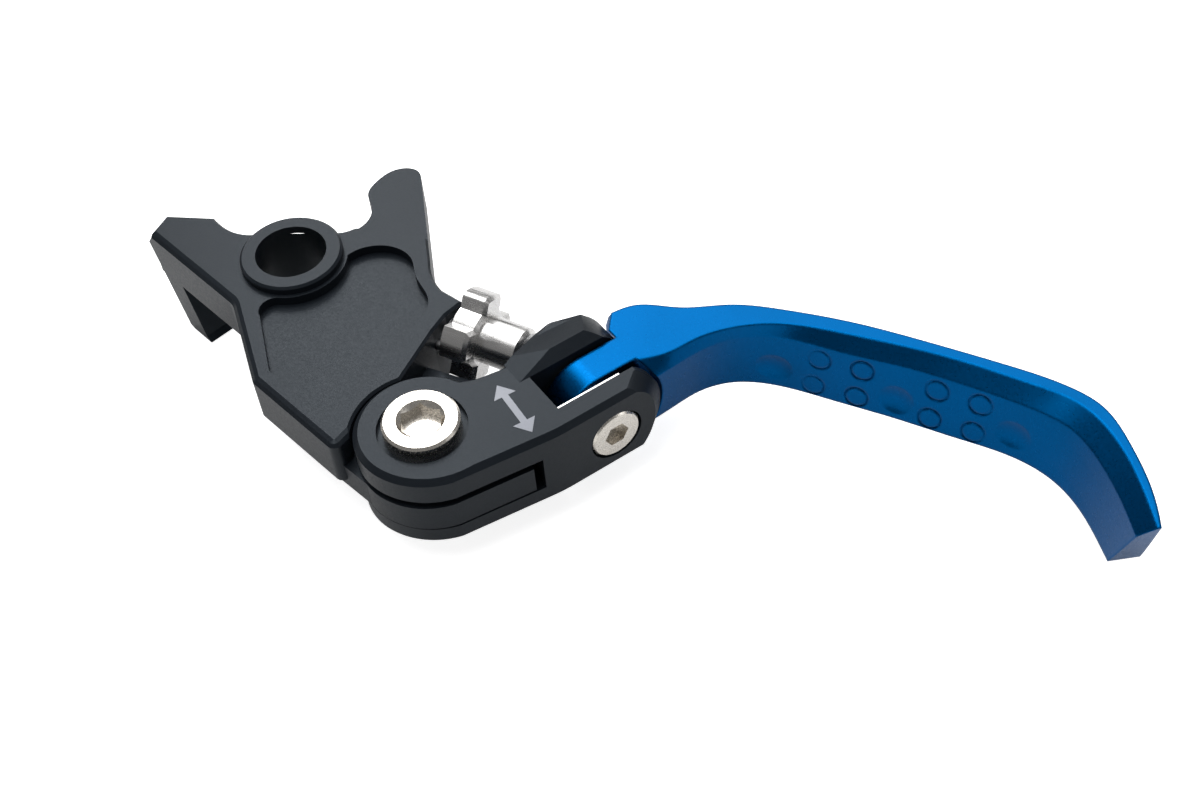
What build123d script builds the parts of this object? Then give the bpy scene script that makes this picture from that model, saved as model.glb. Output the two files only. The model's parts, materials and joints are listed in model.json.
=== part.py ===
from build123d import *

import os
from math import cos, hypot, radians, sin

# Folding, reach-adjustable clutch lever.  Origin: main bore axis at the top of its boss.
# +Z is the bore axis, +X runs out along the blade, +Y points back to the handlebar.

# Heights (mm)
BASE_TOP = -1.5
HORN_TOP = -2.3
POCKET_FLOOR = -3.2
BASE_BOTTOM = -10.2
BOSS_BOTTOM = -14.2
TAB_BOTTOM = -21.6
LUG_TOP = -6.9
LUG_BOTTOM = -12.0
WALL_BOTTOM = -14.2
KNUCKLE_TOP = -0.8
UPPER_CHEEK_BOTTOM = -5.5
LOWER_CHEEK_TOP = -12.3
KNUCKLE_BOTTOM = -15.7
BLADE_TOP = -1.8
BLADE_BOTTOM = -14.6

# Main bore and its boss
BORE_R = 6.0
BOSS_R = 8.65
BOSS_BEVEL = 0.4
FRONT_CHAMFER = 0.8
REAR_CHAMFER = 0.4

# Reach pivot
PIVOT = (38.3, -25.2)
LUG_R = 10.7
LUG_FRONT = [(10.7, -95), (11.0, -65), (11.45, -39)]
SOCKET_R = 11.4
PIVOT_SHANK_R = 3.0
PIVOT_HEAD_R = 6.1
PIVOT_HEAD_TOP = 1.2
PIVOT_HEAD_BEVEL = 0.4
PIVOT_HEAD_SEAT = -1.8
PIVOT_RECESS_R = 7.1
PIVOT_SOCKET_AF = 6.0
PIVOT_SOCKET_DEPTH = 2.4
PIVOT_SOCKET_MOUTH_R = 3.8
PIVOT_SOCKET_MOUTH_DEPTH = 1.2
PIVOT_BUSH_R = 4.2
PIVOT_WASHER_R = 8.6
PIVOT_NUT_AF = 10.0
PIVOT_NUT_HEIGHT = 3.2
PIVOT_NUT_TAPER = 15
PIVOT_NUT_WASHER_R = 6.2
PIVOT_NUT_WASHER_THICKNESS = 0.6
PIVOT_END_BELOW_NUT = 0.2
RUNNING_GAP = 0.05
SCREW_CHAMFER = 0.5
SMALL_CHAMFER = 0.3
BEYOND = 40.0

# Fold hinge: the axis lies level, square to the fork
FOLD_ANGLE = 58.85
FOLD_CENTRE = (63.5, -9.8, -8.9)
FORK_FRONT_V = 0.0
SLOT_FRONT_V = -4.0
SLOT_REAR_V = -12.0
SLOT_END_U = -7.7
CHEEK_R = 10.2
SHIM_FRONT_V = -4.05
SHIM_REAR_V = -4.95
TONGUE_FRONT_V = -5.9
TONGUE_REAR_V = -11.4
TONGUE_R = 6.9
TONGUE_NOSE = (0.9, 0.2)
TONGUE_BELOW = 5.5
SHOULDER_R = 10.8
FOLD_SHANK_R = 2.5
FOLD_HEAD_R = 4.4
FOLD_HEAD_HEIGHT = 2.4
FOLD_SOCKET_AF = 3.8
FOLD_SOCKET_DEPTH = 1.8
FOLD_BUSH_R = 3.6
FOLD_WASHER_R = 5.0
SHIM_START_U = -7.3
SHIM_LENGTH = 11.5
SHIM_BELOW = -5.0
SHIM_HEIGHT = 12.2
FOLD_NUT_R = 3.9
FOLD_NUT_V = -15.0
FOLD_REAR_V = -18.2
FOLD_HEAD_GAP = 0.3

# Reach adjuster: the screw bears on the rear wall of the knuckle
ADJUSTER_Z = -5.6
ADJUSTER_ANGLE = -4.4
ADJUSTER_POINT = (30.3, -0.94)
STUD_R = 1.25
INSERT_R = 2.2
WHEEL_START = 2.3
WHEEL_LENGTH = 4.6
WHEEL_R = 7.5
WHEEL_LOBES = 4
LOBE_R = 2.6
LOBE_ANGLE = 60
WHEEL_CORE_R = 5.3
LOBE_TIP_R = 1.2
LOBE_ROOT_R = 1.0
WHEEL_BEVEL = 0.6
BARREL_R = 4.05
BARREL_BEVEL = 0.7
BARREL_END = 14.3
SHOE_R = 2.2
SHOE_LENGTH = 0.5
SHOE_EDGE_R = 0.3
SHOE_SPIGOT_R = 1.2
SHOE_SPIGOT_LENGTH = 2.0
DETENT_RADIUS = 4.6
DETENT_PIN_R = 0.8
DETENT_PIN_LENGTH = 5.8
DETENT_BORE_DEPTH = 6.5
INSERT_LENGTH = 2.6
STUD_BORE_DEPTH = 9.0
STUD_LENGTH = 7.0
SHOE_BORE_SPARE = 0.3
DETENT_PIN_GAP = 0.2
DETENT_NOSE_R = 0.5

# Springs
SPRING_GROOVE_OUTER = 6.9
SPRING_GROOVE_INNER = 5.1
SPRING_GROOVE_DEPTH = 3.0
REACH_WIRE_R = 0.35
REACH_PITCH = 0.78
REACH_TURNS = 2.6
REACH_SPRING_SEAT = 0.1
PLUNGER_SPRING_R = 1.2
PLUNGER_SPRING_PITCH = 0.6
PLUNGER_SPRING_TURNS = 2.5
PLUNGER_SPRING_WIRE_R = 0.2
PLUNGER_SPRING_SEAT = 0.3
DETENT_SPRING_R = 0.55
DETENT_SPRING_PITCH = 0.35
DETENT_SPRING_TURNS = 3.5
DETENT_SPRING_WIRE_R = 0.13
DETENT_SPRING_SEAT = 0.2

os.makedirs("parts", exist_ok=True)

u_dir = Vector(cos(radians(FOLD_ANGLE)), sin(radians(FOLD_ANGLE)), 0)
v_dir = Vector(sin(radians(FOLD_ANGLE)), -cos(radians(FOLD_ANGLE)), 0)
fold_centre = Vector(*FOLD_CENTRE)
a_dir = Vector(cos(radians(ADJUSTER_ANGLE)), sin(radians(ADJUSTER_ANGLE)), 0)
adjuster_point = Vector(*ADJUSTER_POINT, ADJUSTER_Z)
fold_axis = Axis(origin=(0, 0, 0), direction=v_dir)
adjuster_axis = Axis(origin=(0, 0, 0), direction=a_dir)


def fold_plane(v):
    """Plane square to the fold axis at v, with x along the lever and y upwards."""
    return Plane(origin=fold_centre + v_dir * v, x_dir=u_dir, z_dir=v_dir)


def pivot_plane(height):
    """Level plane on the reach pivot."""
    return Plane(origin=(PIVOT[0], PIVOT[1], height))


def adjuster_plane(distance):
    """Plane square to the adjuster screw, at a distance from the wall of the base."""
    return Plane(origin=adjuster_point + a_dir * distance, x_dir=(0, 0, 1), z_dir=a_dir)


def fold_xy(u, v):
    """Plan point from hinge coordinates."""
    point = fold_centre + u_dir * u + v_dir * v
    return (point.X, point.Y)


def on_circle(radius, angle):
    """Plan point on a circle about the reach pivot."""
    return (PIVOT[0] + radius * cos(radians(angle)), PIVOT[1] + radius * sin(radians(angle)))


def moved_out(points, distance):
    """A line of points moved to its left by a distance."""
    result = []
    for index, (x, y) in enumerate(points):
        x0, y0 = points[max(index - 1, 0)]
        x1, y1 = points[min(index + 1, len(points) - 1)]
        run = hypot(x1 - x0, y1 - y0)
        result.append((x - (y1 - y0) / run * distance, y + (x1 - x0) / run * distance))
    return result


# ---------------------------------------------------------------- base: arm, horn, pocket, boss and lug
ARM_TIP_FRONT = (-26.3, -3.8)
ARM_TIP_REAR = (-26.3, 1.3)
ARM_ROOT_FRONT = (-4.2, -12.45)
BASE_LEFT_CORNER = (8.1, -26.0)
BASE_NEAR_CORNER = (27.4, -33.5)
SEAT_R = 11.4
SEAT_NEAR_ANGLE = 206.0
SEAT_FAR_ANGLE = 136.5
FRONT_LIMIT = -13.9
LUG_ROOT_FRONT = (25.0, -31.5)
tab_dir = Vector(0.931, -0.365, 0).normalized()
tab_plane = Plane(origin=(*ARM_ROOT_FRONT, 0), x_dir=tab_dir, z_dir=tab_dir.cross(Vector(0, 0, 1)))
TAB_DEPTH = 5.2

lug_front = [on_circle(radius, angle) for radius, angle in LUG_FRONT]
seat_near = on_circle(SEAT_R, SEAT_NEAR_ANGLE)
seat_far = on_circle(SEAT_R, SEAT_FAR_ANGLE)


def on_front(edge):
    """Whether an edge of the base lies along its long front and left sides."""
    middle = edge.center()
    return middle.Y < -5.0 and middle.Y + 0.62 * middle.X < FRONT_LIMIT


with BuildPart() as base:
    with BuildSketch(Plane.XY.offset(BASE_BOTTOM)):
        with BuildLine():
            Polyline(ARM_TIP_REAR, ARM_TIP_FRONT, ARM_ROOT_FRONT, BASE_LEFT_CORNER, BASE_NEAR_CORNER,
                     seat_near)
            ThreePointArc(seat_near, on_circle(SEAT_R, 180), seat_far)
            Polyline(seat_far, (30.0, -6.4), (30.3, -2.5), (31.6, 1.3), (27.0, 2.5))
            ThreePointArc((27.0, 2.5), (24.6, 4.3), (22.4, 7.3))
            Line((22.4, 7.3), (10.3, 26.5))
            Spline((10.3, 26.5), (8.1, 27.7), (5.6, 26.7), (3.6, 22.6), (3.8, 19.0),
                   (5.6, 16.9), (7.0, 13.8), (6.2, 10.4), (4.1, 8.4))
            Line((4.1, 8.4), (-8.6, 3.3))
            Spline((-8.6, 3.3), (-10.8, 2.3), (-13.4, 2.1), (-15.6, 2.6), (-18.2, 3.8))
            Line((-18.2, 3.8), ARM_TIP_REAR)
        make_face()
    extrude(amount=BASE_TOP - BASE_BOTTOM)
    corner = base.edges().filter_by(Axis.Z).sort_by_distance((*BASE_NEAR_CORNER, BASE_TOP))[0]
    fillet(corner, radius=1.4)
    corner = base.edges().filter_by(Axis.Z).sort_by_distance((*BASE_LEFT_CORNER, BASE_TOP))[0]
    fillet(corner, radius=1.5)
    corner = base.edges().filter_by(Axis.Z).sort_by_distance((*ARM_ROOT_FRONT, BASE_TOP))[0]
    fillet(corner, radius=4.0)
    top_edges = base.faces().sort_by(Axis.Z)[-1].edges()
    chamfer(top_edges.filter_by(on_front), length=FRONT_CHAMFER)
    top_edges = base.faces().sort_by(Axis.Z)[-1].edges()
    chamfer(top_edges.filter_by(on_front, reverse=True), length=REAR_CHAMFER)
    with BuildSketch(tab_plane):
        with BuildLine():
            Polyline((-23.7, BASE_TOP - FRONT_CHAMFER), (-25.2, -4.1), (-19.8, -21.3), (-18.8, TAB_BOTTOM),
                     (-13.65, TAB_BOTTOM), (-14.7, -20.7), (-17.7, BASE_BOTTOM), (-17.7, -6.0),
                     (-23.7, BASE_TOP - FRONT_CHAMFER))
        make_face()
    extrude(amount=-TAB_DEPTH)
    with BuildSketch(Plane.XY.offset(HORN_TOP)):
        with BuildLine():
            Polyline((-2.0, 8.6), (7.0, 10.2), (18.7, 12.1), (30.0, 14.0), (30.0, 30.0), (-2.0, 30.0),
                     (-2.0, 8.6))
        make_face()
    extrude(amount=BASE_TOP - HORN_TOP, mode=Mode.SUBTRACT)
    with BuildSketch(Plane.XY.offset(POCKET_FLOOR)):
        with BuildLine():
            Line((9.6, -23.3), (1.9, -13.6))
            ThreePointArc((1.9, -13.6), (0.8, -11.2), (2.4, -9.0))
            ThreePointArc((2.4, -9.0), (8.97, -2.5), (8.45, 3.95))
            Spline((8.45, 3.95), (10.4, 6.7), (14.9, 8.4), (19.0, 7.0), (21.6, 3.7), (25.2, 0.7),
                   (27.1, -3.6))
            Line((27.1, -3.6), (25.3, -21.6))
            Spline((25.3, -21.6), (24.2, -25.8), (20.9, -27.7), (17.6, -26.8))
            Line((17.6, -26.8), (9.6, -23.3))
        make_face()
    extrude(amount=BASE_TOP - POCKET_FLOOR, mode=Mode.SUBTRACT)
    with BuildSketch(Plane.XY.offset(BASE_TOP)):
        Circle(BOSS_R)
    extrude(amount=-BASE_TOP)
    chamfer(base.faces().sort_by(Axis.Z)[-1].edges(), length=BOSS_BEVEL)
    with BuildSketch(Plane.XY.offset(BOSS_BOTTOM)):
        Circle(BOSS_R)
    extrude(amount=BASE_BOTTOM - BOSS_BOTTOM)
    with BuildSketch(Plane.XY.offset(WALL_BOTTOM)):
        with BuildLine():
            Polyline((23.0, -16.0), (29.9, -16.0), (30.0, -6.4), (30.3, -2.5), (30.3, 0.6), (24.6, 0.6),
                     (23.0, -16.0))
        make_face()
    extrude(amount=BASE_BOTTOM - WALL_BOTTOM)
    with BuildSketch(Plane.XY.offset(LUG_BOTTOM)):
        with Locations(PIVOT):
            Circle(LUG_R)
        with BuildLine():
            Polyline(LUG_ROOT_FRONT, (32.5, -34.2), PIVOT, (38.2, -14.8), (38.2, -9.6), (27.0, -9.6),
                     (25.0, -18.0), LUG_ROOT_FRONT)
        make_face()
        with BuildLine():
            ThreePointArc(*lug_front)
            Polyline(lug_front[-1], (55.2, -22.2), (52.3, -19.7), on_circle(LUG_R, 27), PIVOT, lug_front[0])
        make_face()
    extrude(amount=LUG_TOP - LUG_BOTTOM)
    Cylinder(BORE_R, -BOSS_BOTTOM, align=(Align.CENTER, Align.CENTER, Align.MAX), mode=Mode.SUBTRACT)
    with BuildSketch(pivot_plane(LUG_BOTTOM)):
        Circle(PIVOT_BUSH_R)
    extrude(amount=LUG_TOP - LUG_BOTTOM, mode=Mode.SUBTRACT)
    with BuildSketch(pivot_plane(LUG_TOP)):
        Circle(SPRING_GROOVE_OUTER)
        Circle(SPRING_GROOVE_INNER, mode=Mode.SUBTRACT)
    extrude(amount=-SPRING_GROOVE_DEPTH, mode=Mode.SUBTRACT)
    with BuildSketch(adjuster_plane(-INSERT_LENGTH)):
        Circle(INSERT_R)
    extrude(amount=INSERT_LENGTH + WHEEL_START, mode=Mode.SUBTRACT)
    with BuildSketch(adjuster_plane(-STUD_BORE_DEPTH)):
        Circle(STUD_R + 4 * RUNNING_GAP)
    extrude(amount=STUD_BORE_DEPTH, mode=Mode.SUBTRACT)
    with BuildSketch(adjuster_plane(-DETENT_BORE_DEPTH)):
        with Locations((0, DETENT_RADIUS)):
            Circle(DETENT_PIN_R + RUNNING_GAP)
    extrude(amount=DETENT_BORE_DEPTH + WHEEL_START, mode=Mode.SUBTRACT)
base.part.label = "base"
export_step(base.part, "parts/base.step")


# ---------------------------------------------------------------- knuckle: pivot cheeks and folding fork
FORK_FRONT_BEND = fold_xy(-10.4, FORK_FRONT_V)
FORK_END_U = 11.5
KNUCKLE_ROUND = [(11.0, 85), (10.9, 180), (10.6, 262), (10.9, 295), (11.5, 321)]
FORK_REAR_V = -17.2
KNUCKLE_CHAMFER = 0.9
KNUCKLE_FOOT_CHAMFER = 0.7
CHEEK_FRONT_V = 0.02
CHEEK_FRONT = [(0.5, 8.3), (3.6, 7.5), (6.2, 5.4), (7.3, 2.5), (7.2, -1.5), (6.3, -4.0), (5.0, -5.9),
               (3.2, -7.6)]
CHEEK_BEHIND_V = -3.2
CHEEK_BEHIND = [(5.0, 8.3), (7.4, 7.4), (9.4, 5.6), (10.7, 2.6), (10.9, -1.5), (10.3, -4.2), (9.4, -5.9),
                (8.2, -7.8)]
RIDGE_HEIGHT = 1.3
RIDGE_START_U = -9.5
RIDGE_FULL_U = -2.5
RIDGE_CREST_V = -14.0
RIDGE_END_V = -21.2
PLUNGER_R = 1.5
PLUNGER_NOSE = 7.5
PLUNGER_LENGTH = 3.2
PLUNGER_BORE_END = -13.0
RIDGE_FOOT = 1.0
RIDGE_INSET = 0.2
cheek_top = KNUCKLE_TOP - FOLD_CENTRE[2]
ridge_foot = cheek_top - RIDGE_FOOT
slot_middle = (SLOT_FRONT_V + SLOT_REAR_V) / 2
round_points = [on_circle(radius, angle) for radius, angle in KNUCKLE_ROUND]
plunger_plane = Plane(origin=fold_centre + v_dir * slot_middle, x_dir=v_dir, z_dir=-u_dir)
ridge_plane = Plane(origin=fold_centre + u_dir * RIDGE_START_U, x_dir=-v_dir, z_dir=u_dir)

with BuildSketch(Plane.XY.offset(KNUCKLE_BOTTOM)) as knuckle_plan:
    with BuildLine():
        ThreePointArc(*round_points[:3])
        ThreePointArc(*round_points[2:])
        Polyline(round_points[-1], FORK_FRONT_BEND, fold_xy(FORK_END_U, FORK_FRONT_V),
                 fold_xy(FORK_END_U, FORK_REAR_V), (52.0, 5.7), (46.7, 2.0), (45.7, -1.6),
                 (44.3, -9.3), (41.2, -12.9), round_points[0])
    make_face()
    bends = [FORK_FRONT_BEND, (44.3, -9.3), (41.2, -12.9), (46.7, 2.0)]
    for bend, bend_radius in zip(bends, [30.0, 3.0, 3.0, 2.0]):
        fillet(knuckle_plan.vertices().sort_by_distance((*bend, KNUCKLE_BOTTOM))[0], radius=bend_radius)

with BuildPart() as ridge:
    with BuildSketch(ridge_plane):
        with BuildLine():
            Polyline((-SLOT_REAR_V, ridge_foot), (-SLOT_REAR_V, cheek_top),
                     (-RIDGE_CREST_V, cheek_top + RIDGE_HEIGHT), (-RIDGE_END_V, ridge_foot + 0.1),
                     (-RIDGE_END_V, ridge_foot), (-SLOT_REAR_V, ridge_foot))
        make_face()
    extrude(amount=FORK_END_U - RIDGE_START_U)
    with BuildSketch(fold_plane(RIDGE_END_V - RIDGE_FOOT)):
        with BuildLine():
            Polyline((RIDGE_START_U, ridge_foot), (RIDGE_START_U, cheek_top),
                     (RIDGE_FULL_U, cheek_top + RIDGE_HEIGHT), (FORK_END_U, cheek_top + RIDGE_HEIGHT),
                     (FORK_END_U, ridge_foot), (RIDGE_START_U, ridge_foot))
        make_face()
    extrude(amount=BEYOND, mode=Mode.INTERSECT)
    ridge_limit = offset(knuckle_plan.sketch, amount=-RIDGE_INSET, mode=Mode.PRIVATE)
    extrude(ridge_limit, amount=BEYOND, mode=Mode.INTERSECT)

with BuildPart() as knuckle:
    extrude(knuckle_plan.sketch, amount=KNUCKLE_TOP - KNUCKLE_BOTTOM)
    chamfer(knuckle.faces().sort_by(Axis.Z)[-1].edges(), length=KNUCKLE_CHAMFER)
    chamfer(knuckle.faces().sort_by(Axis.Z)[0].edges(), length=KNUCKLE_FOOT_CHAMFER)
    add(ridge.part)
    with BuildSketch(fold_plane(RIDGE_END_V - RIDGE_FOOT)):
        with BuildLine():
            ThreePointArc((0, CHEEK_R), (CHEEK_R, 0), (0, -CHEEK_R))
            Polyline((0, -CHEEK_R), (16.0, -CHEEK_R), (16.0, CHEEK_R), (0, CHEEK_R))
        make_face()
    extrude(amount=BEYOND, mode=Mode.SUBTRACT)
    with BuildSketch(fold_plane(CHEEK_FRONT_V)) as cheek_front:
        with BuildLine():
            Spline(*CHEEK_FRONT)
            Polyline(CHEEK_FRONT[-1], (14.0, -7.6), (14.0, 12.0), (0.5, 12.0), CHEEK_FRONT[0])
        make_face()
    with BuildSketch(fold_plane(CHEEK_BEHIND_V)) as cheek_behind:
        with BuildLine():
            Spline(*CHEEK_BEHIND)
            Polyline(CHEEK_BEHIND[-1], (15.0, -7.8), (15.0, 13.0), (5.0, 13.0), CHEEK_BEHIND[0])
        make_face()
    loft([cheek_front.sketch, cheek_behind.sketch], ruled=True, mode=Mode.SUBTRACT)
    with BuildSketch(fold_plane(SLOT_REAR_V)):
        with Locations((SLOT_END_U, 0)):
            Rectangle(BEYOND, BEYOND, align=(Align.MIN, Align.CENTER))
    extrude(amount=SLOT_FRONT_V - SLOT_REAR_V, mode=Mode.SUBTRACT)
    with BuildSketch(pivot_plane(LOWER_CHEEK_TOP)):
        Circle(SOCKET_R)
    extrude(amount=UPPER_CHEEK_BOTTOM - LOWER_CHEEK_TOP, mode=Mode.SUBTRACT)
    with BuildSketch(Plane.XY.offset(LOWER_CHEEK_TOP)):
        with BuildLine():
            Polyline(on_circle(SOCKET_R, -52), (50.0, -34.0), (57.8, -22.5), (56.4, -21.1), (52.6, -17.8),
                     on_circle(SOCKET_R, 36), PIVOT, on_circle(SOCKET_R, -52))
        make_face()
    extrude(amount=UPPER_CHEEK_BOTTOM - LOWER_CHEEK_TOP, mode=Mode.SUBTRACT)
    with BuildSketch(pivot_plane(PIVOT_HEAD_SEAT)):
        Circle(PIVOT_RECESS_R)
    extrude(amount=KNUCKLE_TOP - PIVOT_HEAD_SEAT, mode=Mode.SUBTRACT)
    with BuildSketch(pivot_plane(KNUCKLE_BOTTOM)):
        Circle(PIVOT_SHANK_R + RUNNING_GAP)
    extrude(amount=KNUCKLE_TOP - KNUCKLE_BOTTOM, mode=Mode.SUBTRACT)
    with BuildSketch(fold_plane(-FOLD_HEAD_HEIGHT)):
        Circle(FOLD_HEAD_R + FOLD_HEAD_GAP)
    extrude(amount=BEYOND, mode=Mode.SUBTRACT)
    with BuildSketch(fold_plane(FOLD_NUT_V)):
        Circle(FOLD_SHANK_R + RUNNING_GAP)
    extrude(amount=-FOLD_NUT_V, mode=Mode.SUBTRACT)
    with BuildSketch(fold_plane(FOLD_NUT_V)):
        Circle(FOLD_NUT_R + RUNNING_GAP)
    extrude(amount=-BEYOND, mode=Mode.SUBTRACT)
    with BuildSketch(plunger_plane.offset(-SLOT_END_U)):
        Circle(PLUNGER_R + RUNNING_GAP)
    extrude(amount=SLOT_END_U - PLUNGER_BORE_END, mode=Mode.SUBTRACT)
knuckle.part.label = "knuckle"
export_step(knuckle.part, "parts/knuckle.step")

# ---------------------------------------------------------------- blade: plan lines of its three long edges
TOP_FRONT = [(62.3, 0.0), (64.6, 1.2), (67.0, 3.2), (69.6, 7.0), (74.0, 11.4), (80.3, 14.9), (90.7, 16.9),
             (100.5, 17.7), (110.5, 17.9), (120.7, 17.2), (128.6, 15.9), (134.6, 11.7), (139.8, 5.0),
             (144.9, -4.0)]
CHAMFER_FRONT = [(65.0, -2.7), (66.4, -0.2), (68.2, 3.1), (70.5, 7.0), (74.6, 11.5), (80.6, 14.2),
                 (91.5, 14.9), (101.3, 15.5), (111.6, 15.3), (121.6, 14.4), (128.4, 12.6), (133.6, 8.2),
                 (138.0, 2.5), (143.0, -5.7)]
BOTTOM_FRONT = [(64.0, -3.6), (65.5, -0.9), (67.6, 3.0), (70.2, 7.5), (74.5, 11.3), (81.0, 13.3),
                (91.0, 13.6), (101.0, 13.6), (111.5, 13.2), (120.5, 12.7), (127.3, 10.6), (132.6, 6.6),
                (136.5, 1.9), (140.9, -4.2)]
TOP_REAR = [(52.8, 3.6), (55.6, 8.4), (57.9, 10.7), (64.7, 12.8), (72.2, 16.3), (80.4, 18.3), (91.5, 19.6),
            (103.3, 19.8), (116.7, 19.5), (126.7, 18.5), (131.5, 16.8), (137.2, 11.0), (141.8, 4.0),
            (145.5, -4.6)]
CHAMFER_Z = -4.2
REAR_SWELL = [(BLADE_BOTTOM, 1.2), (-12.4, 2.5), (-7.0, 2.5), (CHAMFER_Z, 1.5), (BLADE_TOP, 0.0)]
SWELL_ENDS_X = 143.0
SWELL_FADE = 12.0
TIP_POINT = Vector(139.4, -1.5, -13.5)
TIP_NORMAL = Vector(0.5, -0.813, -0.3)
TONGUE_REACH = 13.0
SHOULDER_REAR_V = -30.0
BIG_DIMPLE_R = 2.8
SMALL_DIMPLE_R = 2.0
DIMPLE_DEPTH = 0.55
RING_WIDTH = 0.32
RING_DEPTH = 0.28
BIG_DIMPLES = [(81.8, -10.6), (101.1, -10.6), (119.8, -10.6)]
SMALL_DIMPLES = [(88.1, -6.9), (95.2, -6.9), (107.3, -6.9), (114.3, -6.9),
                 (87.5, -12.5), (94.8, -12.5), (106.9, -12.5), (114.0, -12.5)]


def between(first, second, share):
    """A line of points part of the way from one to another."""
    return [(x0 + (x1 - x0) * share, y0 + (y1 - y0) * share) for (x0, y0), (x1, y1) in zip(first, second)]


def front_outline(height):
    """The front edge of the blade at a height."""
    if height > CHAMFER_Z:
        return between(CHAMFER_FRONT, TOP_FRONT, (height - CHAMFER_Z) / (BLADE_TOP - CHAMFER_Z))
    return between(CHAMFER_FRONT, BOTTOM_FRONT, (height - CHAMFER_Z) / (BLADE_BOTTOM - CHAMFER_Z))


def rear_outline(swell):
    """The rear edge moved out by the swell, which fades towards the tip."""
    outline = []
    for point, full in zip(TOP_REAR, moved_out(TOP_REAR, swell)):
        share = max(0.0, min(1.0, (SWELL_ENDS_X - point[0]) / SWELL_FADE))
        outline += between([point], [full], share)
    return outline


def ended(outline, height):
    """An outline that stops on the slanted plane of the tip."""
    depths = [(Vector(x, y, height) - TIP_POINT).dot(TIP_NORMAL) for x, y in outline[-2:]]
    return outline[:-1] + between(outline[-2:-1], outline[-1:], depths[0] / (depths[0] - depths[1]))


def front_place(x, height):
    """The plane on the front face of the blade at x and a height, with z outwards."""
    outline = front_outline(height)
    index = max(i for i, point in enumerate(outline[:-1]) if point[0] <= x)
    (x0, y0), (x1, y1) = outline[index:index + 2]
    y = y0 + (y1 - y0) * (x - x0) / (x1 - x0)
    lean = (CHAMFER_FRONT[index][1] - BOTTOM_FRONT[index][1]) / (CHAMFER_Z - BLADE_BOTTOM)
    along = Vector(x1 - x0, y1 - y0, 0).normalized()
    upward = Vector(0, lean, 1).normalized()
    return Plane(origin=(x, y, height), x_dir=along, z_dir=along.cross(upward))


dimple_ball_r = (BIG_DIMPLE_R ** 2 + DIMPLE_DEPTH ** 2) / (2 * DIMPLE_DEPTH)

sections = []
for height, swell in REAR_SWELL:
    front_points = ended(front_outline(height), height)
    rear_points = ended(rear_outline(swell), height)
    with BuildSketch(Plane.XY.offset(height)) as section:
        with BuildLine():
            Spline(*front_points)
            Line(front_points[-1], rear_points[-1])
            Spline(*rear_points)
            Line(front_points[0], rear_points[0])
        make_face()
    sections.append(section.sketch)

with BuildPart() as shoulder:
    with BuildSketch(fold_plane(SHOULDER_REAR_V)):
        Circle(SHOULDER_R)
        Rectangle(SHOULDER_R, 2 * SHOULDER_R, align=(Align.MAX, Align.CENTER))
    extrude(amount=BEYOND)
    with BuildSketch(Plane.XY.offset(BLADE_BOTTOM)):
        with BuildLine():
            Polyline(fold_xy(7.9, -13.1), fold_xy(11.0, -16.6), fold_xy(11.3, -30.0), fold_xy(0, -30.0),
                     fold_xy(0, -13.1), fold_xy(7.9, -13.1))
        make_face()
    extrude(amount=BLADE_TOP - BLADE_BOTTOM)

with BuildPart() as blade:
    loft(sections, ruled=True)
    add(shoulder.part, mode=Mode.SUBTRACT)
    with BuildSketch(fold_plane(TONGUE_REAR_V)):
        with Locations(TONGUE_NOSE):
            Circle(TONGUE_R)
        with Locations((TONGUE_NOSE[0], -TONGUE_BELOW)):
            Rectangle(TONGUE_REACH, BLADE_TOP - FOLD_CENTRE[2] + TONGUE_BELOW, align=(Align.MIN, Align.MIN))
        with Locations((0, -TONGUE_BELOW)):
            Rectangle(BEYOND, BEYOND, align=(Align.CENTER, Align.MAX), mode=Mode.SUBTRACT)
    extrude(amount=TONGUE_FRONT_V - TONGUE_REAR_V)
    with BuildSketch(fold_plane(TONGUE_REAR_V)):
        Circle(FOLD_BUSH_R)
    extrude(amount=TONGUE_FRONT_V - TONGUE_REAR_V, mode=Mode.SUBTRACT)
    for x, z in BIG_DIMPLES:
        with Locations(front_place(x, z).offset(dimple_ball_r - DIMPLE_DEPTH)):
            Sphere(dimple_ball_r, rotation=(90, 0, 0), mode=Mode.SUBTRACT)
    for x, z in SMALL_DIMPLES:
        with BuildSketch(front_place(x, z)):
            Circle(SMALL_DIMPLE_R)
            Circle(SMALL_DIMPLE_R - RING_WIDTH, mode=Mode.SUBTRACT)
        extrude(amount=RING_DEPTH, both=True, mode=Mode.SUBTRACT)
blade.part.label = "blade"
export_step(blade.part, "parts/blade.step")

# ---------------------------------------------------------------- reach pivot
nut_top = KNUCKLE_BOTTOM - PIVOT_NUT_WASHER_THICKNESS
nut_bottom = nut_top - PIVOT_NUT_HEIGHT

with BuildPart() as pivot_bush:
    with BuildSketch(pivot_plane(LUG_BOTTOM)):
        Circle(PIVOT_BUSH_R)
        Circle(PIVOT_SHANK_R + RUNNING_GAP, mode=Mode.SUBTRACT)
    extrude(amount=LUG_TOP - LUG_BOTTOM)
pivot_bush.part.label = "pivot_bush"
export_step(pivot_bush.part, "parts/pivot_bush.step")

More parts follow.
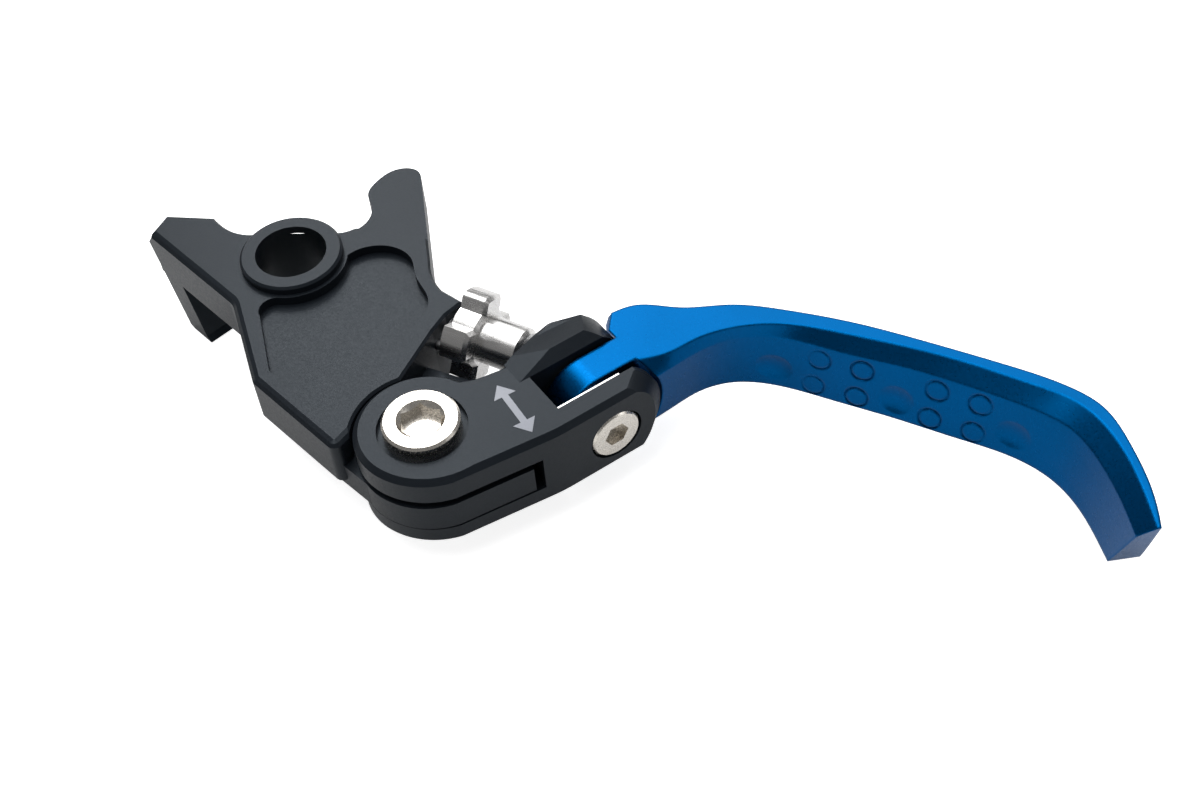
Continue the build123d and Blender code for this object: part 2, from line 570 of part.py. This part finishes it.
with BuildPart() as pivot_bolt:
    with BuildSketch(pivot_plane(PIVOT_HEAD_SEAT)):
        Circle(PIVOT_HEAD_R)
    extrude(amount=PIVOT_HEAD_TOP - PIVOT_HEAD_SEAT)
    chamfer(pivot_bolt.edges().sort_by(Axis.Z)[-1], length=PIVOT_HEAD_BEVEL)
    with BuildSketch(pivot_plane(PIVOT_HEAD_TOP - PIVOT_SOCKET_DEPTH)):
        RegularPolygon(PIVOT_SOCKET_AF / 2, 6, major_radius=False)
    extrude(amount=PIVOT_SOCKET_DEPTH, mode=Mode.SUBTRACT)
    with BuildSketch(pivot_plane(PIVOT_HEAD_TOP)):
        Circle(PIVOT_SOCKET_MOUTH_R)
    extrude(amount=-PIVOT_SOCKET_MOUTH_DEPTH, taper=45, mode=Mode.SUBTRACT)
    with BuildSketch(pivot_plane(PIVOT_HEAD_SEAT)):
        Circle(PIVOT_SHANK_R)
    extrude(amount=nut_bottom - PIVOT_END_BELOW_NUT - PIVOT_HEAD_SEAT)
    chamfer(pivot_bolt.edges().sort_by(Axis.Z)[0], length=SCREW_CHAMFER)
pivot_bolt.part.label = "pivot_bolt"
export_step(pivot_bolt.part, "parts/pivot_bolt.step")

pivot_rings = {
    "pivot_washer_top": (UPPER_CHEEK_BOTTOM - RUNNING_GAP, 1.3, PIVOT_WASHER_R),
    "pivot_washer_bottom": (LUG_BOTTOM - RUNNING_GAP, 0.2, PIVOT_WASHER_R),
    "pivot_nut_washer": (KNUCKLE_BOTTOM, PIVOT_NUT_WASHER_THICKNESS, PIVOT_NUT_WASHER_R),
}
for name, (top, thickness, ring_radius) in pivot_rings.items():
    with BuildPart() as pivot_ring:
        with BuildSketch(pivot_plane(top)):
            Circle(ring_radius)
            Circle(PIVOT_SHANK_R + RUNNING_GAP, mode=Mode.SUBTRACT)
        extrude(amount=-thickness)
    pivot_ring.part.label = name
    export_step(pivot_ring.part, f"parts/{name}.step")

with BuildPart() as pivot_nut:
    with BuildSketch(pivot_plane(nut_top)):
        RegularPolygon(PIVOT_NUT_AF / 2, 6, major_radius=False)
    extrude(amount=-PIVOT_NUT_HEIGHT)
    with BuildSketch(pivot_plane(nut_top)):
        Circle(PIVOT_NUT_AF / 2 + 0.1)
    extrude(amount=-PIVOT_NUT_HEIGHT, taper=-PIVOT_NUT_TAPER, mode=Mode.INTERSECT)
    with BuildSketch(pivot_plane(nut_top)):
        Circle(PIVOT_SHANK_R + RUNNING_GAP / 2)
    extrude(amount=-PIVOT_NUT_HEIGHT, mode=Mode.SUBTRACT)
pivot_nut.part.label = "pivot_nut"
export_step(pivot_nut.part, "parts/pivot_nut.step")


def coil(place, radius, pitch, turns, wire_radius):
    """A round-wire spring along the z direction of a plane."""
    path = place.location * Helix(pitch=pitch, height=pitch * turns, radius=radius)
    with BuildPart() as spring:
        with BuildSketch(Plane(origin=path @ 0, z_dir=path % 0)):
            Circle(wire_radius)
        sweep(path=path)
    return spring.part


reach_spring = coil(pivot_plane(LUG_TOP - SPRING_GROOVE_DEPTH + REACH_WIRE_R + REACH_SPRING_SEAT),
                    (SPRING_GROOVE_OUTER + SPRING_GROOVE_INNER) / 2, REACH_PITCH, REACH_TURNS, REACH_WIRE_R)
reach_spring.label = "reach_spring"
export_step(reach_spring, "parts/reach_spring.step")

# ---------------------------------------------------------------- fold hinge
with BuildPart() as fold_bush:
    with BuildSketch(fold_plane(TONGUE_REAR_V)):
        Circle(FOLD_BUSH_R)
        Circle(FOLD_SHANK_R + RUNNING_GAP, mode=Mode.SUBTRACT)
    extrude(amount=TONGUE_FRONT_V - TONGUE_REAR_V)
fold_bush.part.label = "fold_bush"
export_step(fold_bush.part, "parts/fold_bush.step")

with BuildPart() as fold_bolt:
    with BuildSketch(fold_plane(-FOLD_HEAD_HEIGHT)):
        Circle(FOLD_HEAD_R)
    extrude(amount=FOLD_HEAD_HEIGHT)
    chamfer(fold_bolt.edges().filter_by(GeomType.CIRCLE).sort_by(fold_axis)[-1], length=SMALL_CHAMFER)
    with BuildSketch(fold_plane(-FOLD_SOCKET_DEPTH)):
        RegularPolygon(FOLD_SOCKET_AF / 2, 6, major_radius=False)
    extrude(amount=FOLD_SOCKET_DEPTH, mode=Mode.SUBTRACT)
    with BuildSketch(fold_plane(FOLD_REAR_V)):
        Circle(FOLD_SHANK_R)
    extrude(amount=-FOLD_REAR_V - FOLD_HEAD_HEIGHT)
fold_bolt.part.label = "fold_bolt"
export_step(fold_bolt.part, "parts/fold_bolt.step")

fold_rings = {
    "fold_washer_front": (SHIM_REAR_V - RUNNING_GAP, TONGUE_FRONT_V + RUNNING_GAP, FOLD_WASHER_R),
    "fold_washer_rear": (TONGUE_REAR_V - RUNNING_GAP, SLOT_REAR_V + RUNNING_GAP, FOLD_WASHER_R),
    "fold_nut": (FOLD_NUT_V, FOLD_REAR_V, FOLD_NUT_R),
}
for name, (front, rear, ring_radius) in fold_rings.items():
    with BuildPart() as fold_ring:
        with BuildSketch(fold_plane(front)):
            Circle(ring_radius)
            Circle(FOLD_SHANK_R + RUNNING_GAP, mode=Mode.SUBTRACT)
        extrude(amount=rear - front)
    fold_ring.part.label = name
    export_step(fold_ring.part, f"parts/{name}.step")

with BuildPart() as fold_shim:
    with BuildSketch(fold_plane(SHIM_REAR_V)):
        with Locations((SHIM_START_U, SHIM_BELOW)):
            Rectangle(SHIM_LENGTH, SHIM_HEIGHT, align=(Align.MIN, Align.MIN))
        Circle(FOLD_SHANK_R + RUNNING_GAP, mode=Mode.SUBTRACT)
    extrude(amount=SHIM_FRONT_V - SHIM_REAR_V)
fold_shim.part.label = "fold_shim"
export_step(fold_shim.part, "parts/fold_shim.step")

with BuildPart() as fold_plunger:
    with BuildSketch(plunger_plane.offset(PLUNGER_NOSE + PLUNGER_R)):
        Circle(PLUNGER_R)
    extrude(amount=PLUNGER_LENGTH - PLUNGER_R)
    with Locations(plunger_plane.offset(PLUNGER_NOSE + PLUNGER_R)):
        Sphere(PLUNGER_R)
fold_plunger.part.label = "fold_plunger"
export_step(fold_plunger.part, "parts/fold_plunger.step")

fold_spring = coil(plunger_plane.offset(PLUNGER_NOSE + PLUNGER_LENGTH + PLUNGER_SPRING_SEAT),
                   PLUNGER_SPRING_R, PLUNGER_SPRING_PITCH, PLUNGER_SPRING_TURNS, PLUNGER_SPRING_WIRE_R)
fold_spring.label = "fold_spring"
export_step(fold_spring, "parts/fold_spring.step")

# ---------------------------------------------------------------- reach adjuster
with BuildPart() as adjuster_insert:
    with BuildSketch(adjuster_plane(-INSERT_LENGTH)):
        Circle(INSERT_R)
        Circle(STUD_R + RUNNING_GAP, mode=Mode.SUBTRACT)
    extrude(amount=INSERT_LENGTH)
adjuster_insert.part.label = "adjuster_insert"
export_step(adjuster_insert.part, "parts/adjuster_insert.step")

with BuildPart() as adjuster_stud:
    with BuildSketch(adjuster_plane(-STUD_LENGTH)):
        Circle(STUD_R)
    extrude(amount=STUD_LENGTH + WHEEL_START + WHEEL_LENGTH)
    chamfer(adjuster_stud.edges().filter_by(GeomType.CIRCLE).sort_by(adjuster_axis)[0], length=SMALL_CHAMFER)
adjuster_stud.part.label = "adjuster_stud"
export_step(adjuster_stud.part, "parts/adjuster_stud.step")


def from_screw(vertex):
    """Rounded distance of a vertex from the adjuster's reference point."""
    return round(vertex.distance_to(adjuster_point), 1)


with BuildPart() as adjuster_wheel:
    with BuildSketch(adjuster_plane(WHEEL_START)) as wheel_plan:
        Circle(WHEEL_CORE_R)
        with PolarLocations(0, WHEEL_LOBES, start_angle=LOBE_ANGLE):
            with Locations((WHEEL_R / 2, 0)):
                Rectangle(WHEEL_R, 2 * LOBE_R)
        Circle(WHEEL_R, mode=Mode.INTERSECT)
        fillet(wheel_plan.vertices().group_by(from_screw)[-1], radius=LOBE_TIP_R)
        fillet(wheel_plan.vertices().group_by(from_screw)[0], radius=LOBE_ROOT_R)
    extrude(amount=WHEEL_LENGTH)
    chamfer(adjuster_wheel.faces().sort_by(adjuster_axis)[-1].edges(), length=WHEEL_BEVEL)
    with BuildSketch(adjuster_plane(WHEEL_START + WHEEL_LENGTH)):
        Circle(BARREL_R)
    extrude(amount=BARREL_END - WHEEL_START - WHEEL_LENGTH)
    chamfer(adjuster_wheel.edges().filter_by(GeomType.CIRCLE).sort_by(adjuster_axis)[-1], length=BARREL_BEVEL)
    with BuildSketch(adjuster_plane(WHEEL_START)):
        Circle(STUD_R)
    extrude(amount=WHEEL_LENGTH, mode=Mode.SUBTRACT)
    with BuildSketch(adjuster_plane(BARREL_END)):
        Circle(SHOE_SPIGOT_R + RUNNING_GAP)
    extrude(amount=-SHOE_SPIGOT_LENGTH - SHOE_BORE_SPARE, mode=Mode.SUBTRACT)
adjuster_wheel.part.label = "adjuster_wheel"
export_step(adjuster_wheel.part, "parts/adjuster_wheel.step")

with BuildPart() as thrust_shoe:
    with BuildSketch(adjuster_plane(BARREL_END + RUNNING_GAP)):
        Circle(SHOE_R)
    extrude(amount=SHOE_LENGTH)
    fillet(thrust_shoe.edges().filter_by(GeomType.CIRCLE).sort_by(adjuster_axis)[-1], radius=SHOE_EDGE_R)
    with BuildSketch(adjuster_plane(BARREL_END - SHOE_SPIGOT_LENGTH)):
        Circle(SHOE_SPIGOT_R)
    extrude(amount=SHOE_SPIGOT_LENGTH + 2 * RUNNING_GAP)
thrust_shoe.part.label = "thrust_shoe"
export_step(thrust_shoe.part, "parts/thrust_shoe.step")

with BuildPart() as detent_pin:
    with BuildSketch(adjuster_plane(WHEEL_START - DETENT_PIN_GAP - DETENT_PIN_LENGTH)):
        with Locations((0, DETENT_RADIUS)):
            Circle(DETENT_PIN_R)
    extrude(amount=DETENT_PIN_LENGTH)
    fillet(detent_pin.edges().filter_by(GeomType.CIRCLE).sort_by(adjuster_axis)[-1], radius=DETENT_NOSE_R)
detent_pin.part.label = "detent_pin"
export_step(detent_pin.part, "parts/detent_pin.step")

detent_seat = adjuster_plane(-DETENT_BORE_DEPTH + DETENT_SPRING_SEAT)
detent_spring = coil(Plane(origin=detent_seat.from_local_coords((0, DETENT_RADIUS, 0)), z_dir=a_dir),
                     DETENT_SPRING_R, DETENT_SPRING_PITCH, DETENT_SPRING_TURNS, DETENT_SPRING_WIRE_R)
detent_spring.label = "detent_spring"
export_step(detent_spring, "parts/detent_spring.step")
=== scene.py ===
import json
import math

import bpy
from mathutils import Matrix, Vector


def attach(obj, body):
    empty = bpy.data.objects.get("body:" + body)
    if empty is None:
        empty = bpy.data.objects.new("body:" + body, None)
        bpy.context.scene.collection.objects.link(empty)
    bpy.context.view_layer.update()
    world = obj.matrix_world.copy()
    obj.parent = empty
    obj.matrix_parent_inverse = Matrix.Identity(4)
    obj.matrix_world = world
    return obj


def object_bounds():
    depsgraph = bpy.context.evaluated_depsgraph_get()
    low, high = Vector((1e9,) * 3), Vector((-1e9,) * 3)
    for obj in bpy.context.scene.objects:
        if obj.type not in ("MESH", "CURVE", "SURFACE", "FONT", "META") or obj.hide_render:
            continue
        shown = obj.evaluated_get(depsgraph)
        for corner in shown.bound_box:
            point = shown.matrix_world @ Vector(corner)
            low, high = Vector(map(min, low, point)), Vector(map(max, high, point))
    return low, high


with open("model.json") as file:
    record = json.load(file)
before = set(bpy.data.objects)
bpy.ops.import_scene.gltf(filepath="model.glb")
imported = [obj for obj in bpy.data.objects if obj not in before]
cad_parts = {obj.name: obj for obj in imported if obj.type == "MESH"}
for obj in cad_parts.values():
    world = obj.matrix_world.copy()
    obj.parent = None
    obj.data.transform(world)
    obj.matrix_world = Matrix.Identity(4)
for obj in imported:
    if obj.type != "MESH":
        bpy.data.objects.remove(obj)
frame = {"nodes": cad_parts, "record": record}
cad_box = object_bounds()
nodes = frame["nodes"]
scene = bpy.context.scene
MM = 0.001
WHITE = (1.0, 1.0, 1.0, 1.0)

# Looks
CLOUD_SCALE = 60.0
GRAIN_DEPTH = 0.00002
EDGE_SAMPLES = 6
EDGE_SEGMENTS = 3
EDGE_ANGLE = math.radians(25)
EDGE_WIDTHS = {"base": 0.14, "knuckle": 0.16, "pivot_bolt": 0.10, "fold_bolt": 0.08, "adjuster_wheel": 0.10,
               "fold_shim": 0.06, "pivot_nut": 0.10}

# Double arrow on the knuckle (mm, degrees)
ARROW_MIDDLE = (49.85, -16.75)
ARROW_ANGLE = -35.0
ARROW_TOP = -0.77
ARROW_THICKNESS = 0.10
ARROW_HALF = 5.6
HEAD_LENGTH = 2.6
HEAD_HALF = 1.9
SHAFT_HALF = 0.55

# Floor (m), and its own glow as the camera and the lever see it
FLOOR_HALF = 3.0
FLOOR_GAP = 0.0002
GLOW_ON_LEVER = 0.08
GLOW_IN_CAMERA = 0.82

# Light and camera (m)
WORLD_STRENGTH = 0.20
LIT_POINT = Vector((0.06, 0.0, -0.01))
CAMERA_PLACE = Vector((0.13979, -0.15790, 0.19383))
CAMERA_RIGHT = Vector((0.91140, 0.40736, -0.05852))
CAMERA_UP = Vector((-0.27549, 0.70955, 0.64857))
CAMERA_LENS = 50.335


# ---------------------------------------------------------------- materials
def new_material(name):
    """A node material and its principled shader."""
    material = bpy.data.materials.new(name)
    material.use_nodes = True
    return material, material.node_tree, material.node_tree.nodes["Principled BSDF"]


def noise(tree, scale, detail=4.0, stretch=(1.0, 1.0, 1.0)):
    """Object-space noise; stretch gives machining direction."""
    coordinates = tree.nodes.new("ShaderNodeTexCoord")
    mapping = tree.nodes.new("ShaderNodeMapping")
    mapping.inputs["Scale"].default_value = stretch
    texture = tree.nodes.new("ShaderNodeTexNoise")
    texture.inputs["Scale"].default_value = scale
    texture.inputs["Detail"].default_value = detail
    tree.links.new(coordinates.outputs["Object"], mapping.inputs["Vector"])
    tree.links.new(mapping.outputs["Vector"], texture.inputs["Vector"])
    return texture.outputs["Fac"]


def spread(tree, source, low, high):
    """Maps a 0 to 1 value onto low to high."""
    remap = tree.nodes.new("ShaderNodeMapRange")
    remap.inputs["From Min"].default_value = 0.3
    remap.inputs["From Max"].default_value = 0.7
    remap.inputs["To Min"].default_value = low
    remap.inputs["To Max"].default_value = high
    tree.links.new(source, remap.inputs["Value"])
    return remap.outputs["Result"]


def mixed_colour(tree, source, first, second):
    """Blends two colours by a value."""
    mix = tree.nodes.new("ShaderNodeMix")
    mix.data_type = "RGBA"
    mix.inputs["A"].default_value = (*first, 1.0)
    mix.inputs["B"].default_value = (*second, 1.0)
    tree.links.new(source, mix.inputs["Factor"])
    return mix.outputs["Result"]


def bump(tree, source, strength, distance):
    """Turns a height into a normal."""
    node = tree.nodes.new("ShaderNodeBump")
    node.inputs["Strength"].default_value = strength
    node.inputs["Distance"].default_value = distance
    tree.links.new(source, node.inputs["Height"])
    return node.outputs["Normal"]


def metal(name, first, second, roughness, metallic, grain, relief, stretch=(1.0, 1.0, 1.0), specular=0.5,
          tint=(1.0, 1.0, 1.0), edge=0.0):
    """A finish with drifts of colour and roughness and fine grain; edge rounds the shading of corners."""
    material, tree, shader = new_material(name)
    cloud = noise(tree, CLOUD_SCALE)
    fine = noise(tree, grain, 6.0, stretch)
    colour = mixed_colour(tree, spread(tree, cloud, 0.0, 1.0), first, second)
    tree.links.new(colour, shader.inputs["Base Color"])
    tree.links.new(spread(tree, fine, *roughness), shader.inputs["Roughness"])
    grain_bump = bump(tree, fine, relief, GRAIN_DEPTH)
    if edge:
        rounder = tree.nodes.new("ShaderNodeBevel")
        rounder.samples = EDGE_SAMPLES
        rounder.inputs["Radius"].default_value = edge
        tree.links.new(rounder.outputs["Normal"], grain_bump.node.inputs["Normal"])
    tree.links.new(grain_bump, shader.inputs["Normal"])
    shader.inputs["Metallic"].default_value = metallic
    shader.inputs["Specular IOR Level"].default_value = specular
    shader.inputs["Specular Tint"].default_value = (*tint, 1.0)
    return material


finishes = {
    "black": metal("black_anodised", (0.0060, 0.0082, 0.0115), (0.0085, 0.0112, 0.0150), (0.33, 0.44), 0.0,
                   2600.0, 0.35, specular=0.25, tint=(0.80, 0.90, 1.0)),
    "blue": metal("blue_anodised", (0.0, 0.070, 0.215), (0.0, 0.080, 0.250), (0.26, 0.36), 1.0, 2600.0, 0.30,
                  specular=0.3, edge=0.6 * MM),
    "bright": metal("bright_aluminium", (0.70, 0.69, 0.68), (0.80, 0.79, 0.78), (0.18, 0.33), 1.0, 1500.0,
                    0.4, stretch=(0.12, 1.0, 1.0)),
    "nickel": metal("nickel", (0.70, 0.66, 0.60), (0.78, 0.74, 0.68), (0.20, 0.34), 1.0, 2200.0, 0.35),
    "steel": metal("plain_steel", (0.42, 0.42, 0.43), (0.5, 0.5, 0.51), (0.28, 0.4), 1.0, 1500.0, 0.2),
    "bronze": metal("bronze", (0.5, 0.33, 0.14), (0.56, 0.38, 0.18), (0.3, 0.45), 1.0, 900.0, 0.2),
}
engraved = metal("engraved", (0.19, 0.20, 0.225), (0.23, 0.24, 0.265), (0.42, 0.55), 0.6, 2600.0, 0.35)
for part in frame["record"]["subparts"]:
    piece = nodes[part["node"]]
    piece.data.materials.clear()
    piece.data.materials.append(finishes[part["material_slot"]])

# ---------------------------------------------------------------- softened edges
for name, width in EDGE_WIDTHS.items():
    softener = nodes[name].modifiers.new("softened", "BEVEL")
    softener.width = width * MM
    softener.segments = EDGE_SEGMENTS
    softener.limit_method = "ANGLE"
    softener.angle_limit = EDGE_ANGLE
    softener.harden_normals = True


# ---------------------------------------------------------------- double arrow
def arrow_outline():
    """The plan outline of a double arrow, in millimetres."""
    neck = ARROW_HALF - HEAD_LENGTH
    half = [(neck, -SHAFT_HALF), (neck, -HEAD_HALF), (ARROW_HALF, 0.0), (neck, HEAD_HALF), (neck, SHAFT_HALF)]
    turned = Matrix.Rotation(math.radians(ARROW_ANGLE), 2)
    both = half + [(-x, -y) for x, y in half]
    return [turned @ Vector(point) + Vector(ARROW_MIDDLE) for point in both]


def plate(name, outline, top, thickness):
    """A thin level plate with its outline in millimetres."""
    count = len(outline)
    points = [(x * MM, y * MM, z * MM) for z in (top - thickness, top) for x, y in outline]
    sides = [(i, (i + 1) % count, count + (i + 1) % count, count + i) for i in range(count)]
    faces = [tuple(range(count, 2 * count)), tuple(reversed(range(count)))] + sides
    mesh = bpy.data.meshes.new(name)
    mesh.from_pydata(points, [], faces)
    mesh.materials.append(engraved)
    piece = bpy.data.objects.new(name, mesh)
    scene.collection.objects.link(piece)
    return piece


arrow = plate("double_arrow", arrow_outline(), ARROW_TOP, ARROW_THICKNESS)
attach(arrow, "knuckle")

# ---------------------------------------------------------------- floor
floor_mesh = bpy.data.meshes.new("floor")
corners = [(-FLOOR_HALF, -FLOOR_HALF, 0), (FLOOR_HALF, -FLOOR_HALF, 0), (FLOOR_HALF, FLOOR_HALF, 0),
           (-FLOOR_HALF, FLOOR_HALF, 0)]
floor_mesh.from_pydata(corners, [], [(0, 1, 2, 3)])
floor = bpy.data.objects.new("floor", floor_mesh)
scene.collection.objects.link(floor)
floor.location.z = cad_box[0][2] - FLOOR_GAP
paper, paper_tree, paper_shader = new_material("paper")
paper_shader.inputs["Base Color"].default_value = (0.8, 0.8, 0.8, 1.0)
paper_shader.inputs["Roughness"].default_value = 0.9
paper_shader.inputs["Specular IOR Level"].default_value = 0.1
paper_shader.inputs["Emission Color"].default_value = WHITE
ray = paper_tree.nodes.new("ShaderNodeLightPath")
glow = paper_tree.nodes.new("ShaderNodeMapRange")
glow.inputs["To Min"].default_value = GLOW_ON_LEVER
glow.inputs["To Max"].default_value = GLOW_IN_CAMERA
paper_tree.links.new(ray.outputs["Is Camera Ray"], glow.inputs["Value"])
paper_tree.links.new(glow.outputs["Result"], paper_shader.inputs["Emission Strength"])
floor_mesh.materials.append(paper)

# ---------------------------------------------------------------- light
world = bpy.data.worlds.new("studio")
scene.world = world
world.use_nodes = True
background = world.node_tree.nodes["Background"]
background.inputs["Color"].default_value = WHITE
background.inputs["Strength"].default_value = WORLD_STRENGTH


def softbox(name, place, size, power):
    """A rectangular area light aimed at the lever; size in metres, power in watts."""
    lamp = bpy.data.lights.new(name, "AREA")
    lamp.shape = "RECTANGLE"
    lamp.size, lamp.size_y = size
    lamp.energy = power
    holder = bpy.data.objects.new(name, lamp)
    holder.location = place
    holder.rotation_euler = (LIT_POINT - Vector(place)).to_track_quat("-Z", "Y").to_euler()
    scene.collection.objects.link(holder)


softbox("back_top", (-0.12, 0.62, 0.74), (1.05, 1.0), 7.6)
softbox("pocket_glow", (-0.42, 0.50, 0.72), (0.22, 0.22), 1.0)
softbox("overhead", (-0.12, -0.08, 0.85), (0.8, 0.5), 4.5)
softbox("right", (0.85, 0.15, 0.25), (0.4, 0.3), 0.6)

# ---------------------------------------------------------------- camera
camera_data = bpy.data.cameras.new("camera")
camera_data.sensor_width = 36.0
camera_data.lens = CAMERA_LENS
camera_data.clip_start = 0.01
camera = bpy.data.objects.new("camera", camera_data)
scene.collection.objects.link(camera)
right = CAMERA_RIGHT.normalized()
back = right.cross(CAMERA_UP).normalized()
turned = Matrix((right, back.cross(right), back)).transposed().to_4x4()
camera.matrix_world = Matrix.Translation(CAMERA_PLACE) @ turned
scene.camera = camera
scene.view_settings.view_transform = "Standard"
